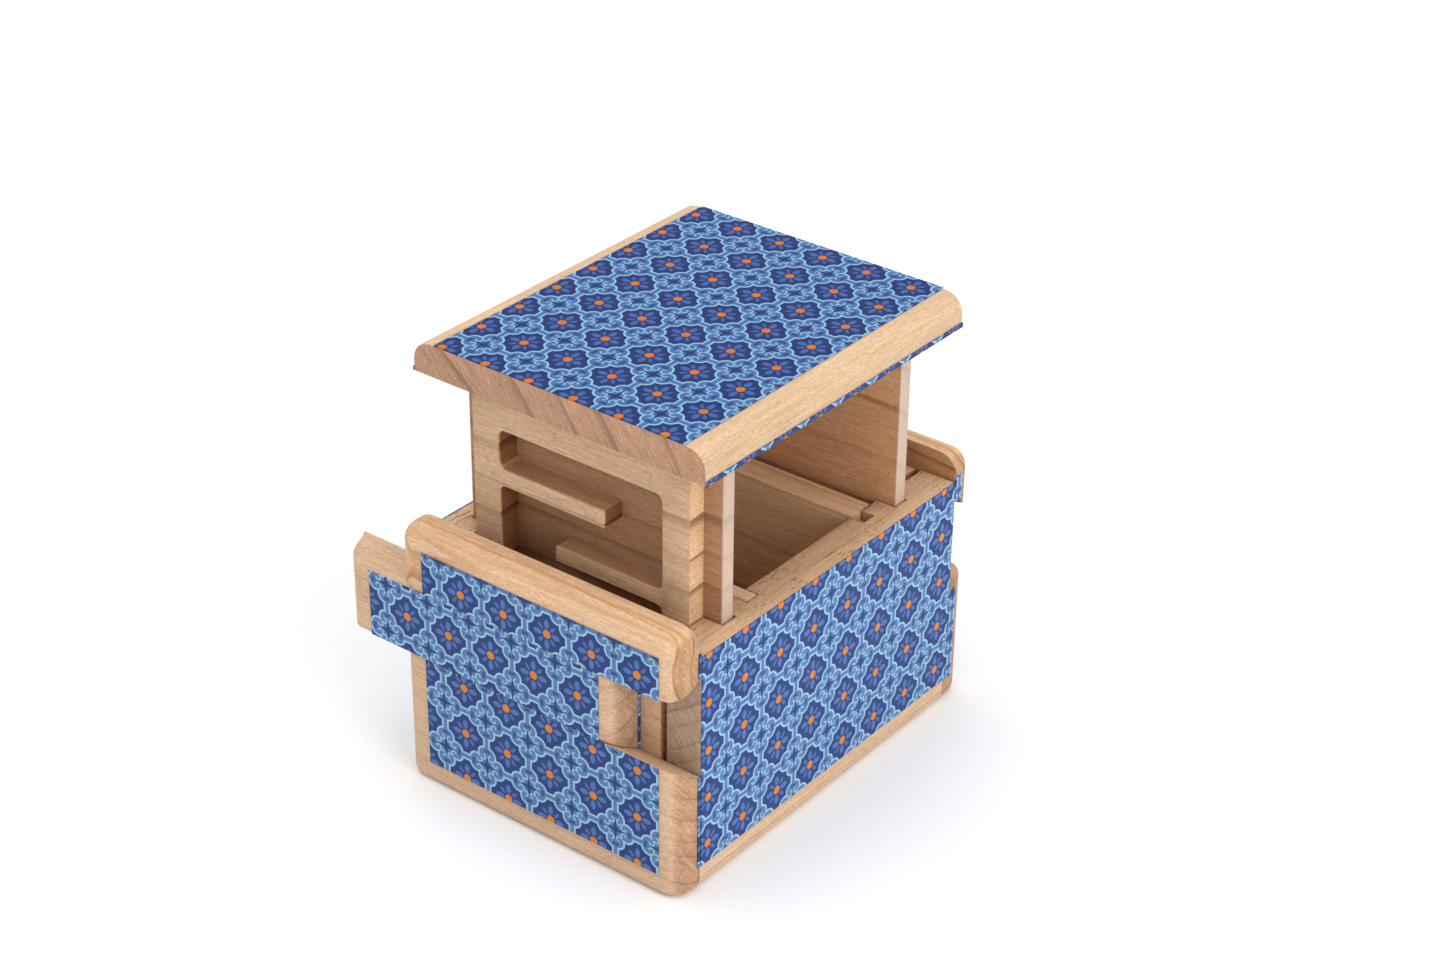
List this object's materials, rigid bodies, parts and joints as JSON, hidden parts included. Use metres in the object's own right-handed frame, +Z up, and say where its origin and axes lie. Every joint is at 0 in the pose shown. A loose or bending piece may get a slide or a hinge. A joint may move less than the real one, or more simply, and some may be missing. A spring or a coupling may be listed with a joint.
{
  "type": "wooden puzzle box",
  "caption": "Wooden trick box with printed sides, sliding dovetailed end strips and a lift-off lid on routed maze boards around a small compartment.",
  "frame": {"origin": "centre of the box's underside, between the two long sides and the two ends of the closed box", "axes": "+X across the box towards the right long side, +Y along the box from the near end to the far end, +Z up"},
  "size_m": [0.1069, 0.1208, 0.1196],
  "materials": {
    "pine": "satin waxed light softwood",
    "inner_pine": "unfinished darker softwood",
    "key_wood": "smooth hardwood",
    "printed_paper": "printed sheet with a thin clear coat"
  },
  "bodies": {
    "case": {"bottom_board": "pine", "left_wall": "pine", "right_wall": "pine", "near_cross_wall": "pine", "far_cross_wall": "pine", "near_guide_panel": "inner_pine", "far_guide_panel": "inner_pine", "near_upper_strip": "pine", "far_upper_strip": "pine", "near_lower_plate": "pine", "far_lower_plate": "pine", "left_wall_print": "printed_paper", "right_wall_print": "printed_paper", "near_upper_strip_print": "printed_paper", "near_upper_strip_left_lap": "printed_paper", "near_upper_strip_right_lap": "printed_paper", "near_lower_plate_print": "printed_paper", "near_lower_plate_left_lap": "printed_paper", "near_lower_plate_right_lap": "printed_paper", "far_upper_strip_print": "printed_paper", "far_upper_strip_left_lap": "printed_paper", "far_upper_strip_right_lap": "printed_paper", "far_lower_plate_print": "printed_paper", "far_lower_plate_left_lap": "printed_paper", "far_lower_plate_right_lap": "printed_paper"},
    "near_strip": {"near_slider": "pine", "near_guide_key": "key_wood", "near_slider_print": "printed_paper", "near_slider_left_lap": "printed_paper", "near_slider_right_lap": "printed_paper"},
    "far_strip": {"far_slider": "pine", "far_guide_key": "key_wood", "far_slider_print": "printed_paper", "far_slider_left_lap": "printed_paper", "far_slider_right_lap": "printed_paper"},
    "lid": {"lid_panel": "pine", "lid_print": "printed_paper", "lid_left_lap": "printed_paper", "lid_right_lap": "printed_paper", "near_maze_board": "inner_pine", "far_maze_board": "inner_pine"}
  },
  "joints": [
    {"name": "near_strip_slide", "type": "slide", "parent": "case", "child": "near_strip", "axis": [1, 0, 0], "range_m": [0, 0.0364]},
    {"name": "far_strip_slide", "type": "slide", "parent": "case", "child": "far_strip", "axis": [1, 0, 0], "range_m": [0, 0.0364]},
    {"name": "lid_lift", "type": "slide", "parent": "case", "child": "lid", "axis": [0, 0, 1], "range_m": [-0.0442, 0.0138]}
  ]
}
